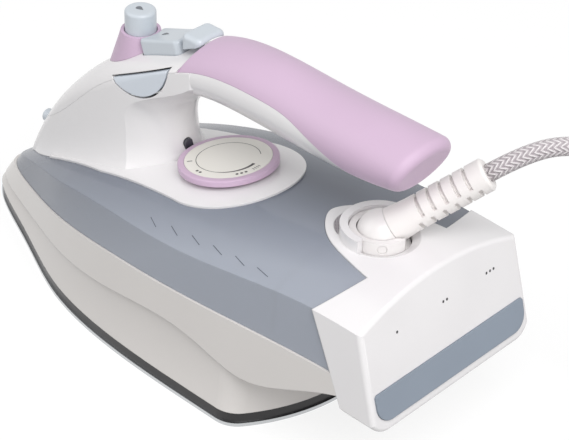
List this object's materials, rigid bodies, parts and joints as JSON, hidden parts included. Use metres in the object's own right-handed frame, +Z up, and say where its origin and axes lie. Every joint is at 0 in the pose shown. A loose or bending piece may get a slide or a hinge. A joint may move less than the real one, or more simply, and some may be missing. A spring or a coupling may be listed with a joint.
{
  "type": "steam iron",
  "caption": "Household steam iron with a raised water tank, a soft cantilever handle, spray and steam buttons, a temperature dial, a heel rest and a swivelling braided cord.",
  "frame": {"origin": "centre of the iron's length and width on the plane of the soleplate", "axes": "+X from nose to heel, +Y to the iron's right, +Z up from the soleplate"},
  "size_m": [0.4943, 0.1461, 0.1535],
  "materials": {
    "sole_alloy": "polished",
    "heater_steel": "oxidised sheath",
    "plate_steel": "bare",
    "skirt_black": "satin",
    "housing_white": "gloss",
    "screw_steel": "zinc plated",
    "tank_clear": "clear smoked blue",
    "inner_plastic": "moulded",
    "seal_rubber": "matt",
    "grip_lilac": "soft touch",
    "flap_grey": "satin",
    "button_grey": "satin",
    "spring_steel": "bright",
    "nozzle_grey": "satin",
    "hose_rubber": "matt",
    "lens_dark": "clear dark",
    "dial_lilac": "gloss",
    "dial_print": "printed",
    "thermostat_ceramic": "glazed",
    "valve_brass": "machined",
    "pad_grey": "fine grain",
    "window_grey": "satin",
    "swivel_white": "gloss",
    "guard_white": "satin",
    "cord_braid": "braided",
    "tie_white": "satin",
    "plug_white": "satin",
    "pin_brass": "nickel plated"
  },
  "bodies": {
    "iron": {"soleplate": "sole_alloy", "heating_element": "heater_steel", "chamber_cover": "plate_steel", "heat_skirt": "skirt_black", "base_shell": "housing_white", "sole_screws": "screw_steel", "tank": "tank_clear", "tank_floor": "inner_plastic", "tank_seal": "seal_rubber", "handle_body": "housing_white", "handle_cover": "housing_white", "grip": "grip_lilac", "spray_collar": "grip_lilac", "flap_pin": "screw_steel", "spray_pump": "inner_plastic", "spray_spring": "spring_steel", "steam_pump": "inner_plastic", "steam_spring": "spring_steel", "steam_pod": "button_grey", "spray_nozzle": "nozzle_grey", "spray_hose": "hose_rubber", "pilot_lens": "lens_dark", "thermostat": "thermostat_ceramic", "thermal_fuse": "plate_steel", "drip_valve": "valve_brass", "heel_cover": "housing_white", "heel_pad": "pad_grey", "swivel_window": "window_grey", "terminal_block": "thermostat_ceramic", "cord_lead": "cord_braid", "cord_coil": "cord_braid", "plug_lead": "cord_braid", "cord_tie": "tie_white", "plug_body": "plug_white", "plug_pins": "pin_brass"},
    "dial": {"dial_knob": "dial_lilac", "dial_face": "dial_print", "dial_spindle": "inner_plastic"},
    "spray": {"spray_button": "button_grey"},
    "steam": {"steam_button": "button_grey"},
    "flap": {"filling_flap": "flap_grey"},
    "swivel": {"swivel_ring": "swivel_white"},
    "guard": {"cord_ball": "swivel_white", "cord_guard": "guard_white"}
  },
  "joints": [
    {"name": "dial_turn", "type": "hinge", "parent": "iron", "child": "dial", "pos_m": [0.0128, 0, 0.0904], "axis": [-0.1444, 0, 0.9895], "range_deg": [0, 250]},
    {"name": "spray_press", "type": "slide", "parent": "iron", "child": "spray", "axis": [0, 0, -1], "range_m": [0, 0.005], "stiffness_N_per_m": 400, "springref_m": -0.002, "deforming": ["spray_spring"]},
    {"name": "steam_press", "type": "slide", "parent": "iron", "child": "steam", "axis": [0.342, 0, -0.9397], "range_m": [0, 0.004], "stiffness_N_per_m": 500, "springref_m": -0.002, "deforming": ["steam_spring"]},
    {"name": "flap_open", "type": "hinge", "parent": "iron", "child": "flap", "pos_m": [-0.02126, -0.0179, 0.11703], "axis": [0.8876, 0, 0.4606], "range_deg": [0, 30]},
    {"name": "cord_yaw", "type": "hinge", "parent": "iron", "child": "swivel", "pos_m": [0.104, 0, 0.0946], "axis": [0, 0, 1], "range_deg": [-90, 0], "deforming": ["cord_lead"]},
    {"name": "guard_tilt", "type": "hinge", "parent": "swivel", "child": "guard", "pos_m": [0.104, 0, 0.0946], "axis": [0.7071, -0.7071, 0], "range_deg": [-8, 5], "deforming": ["cord_lead"]}
  ]
}
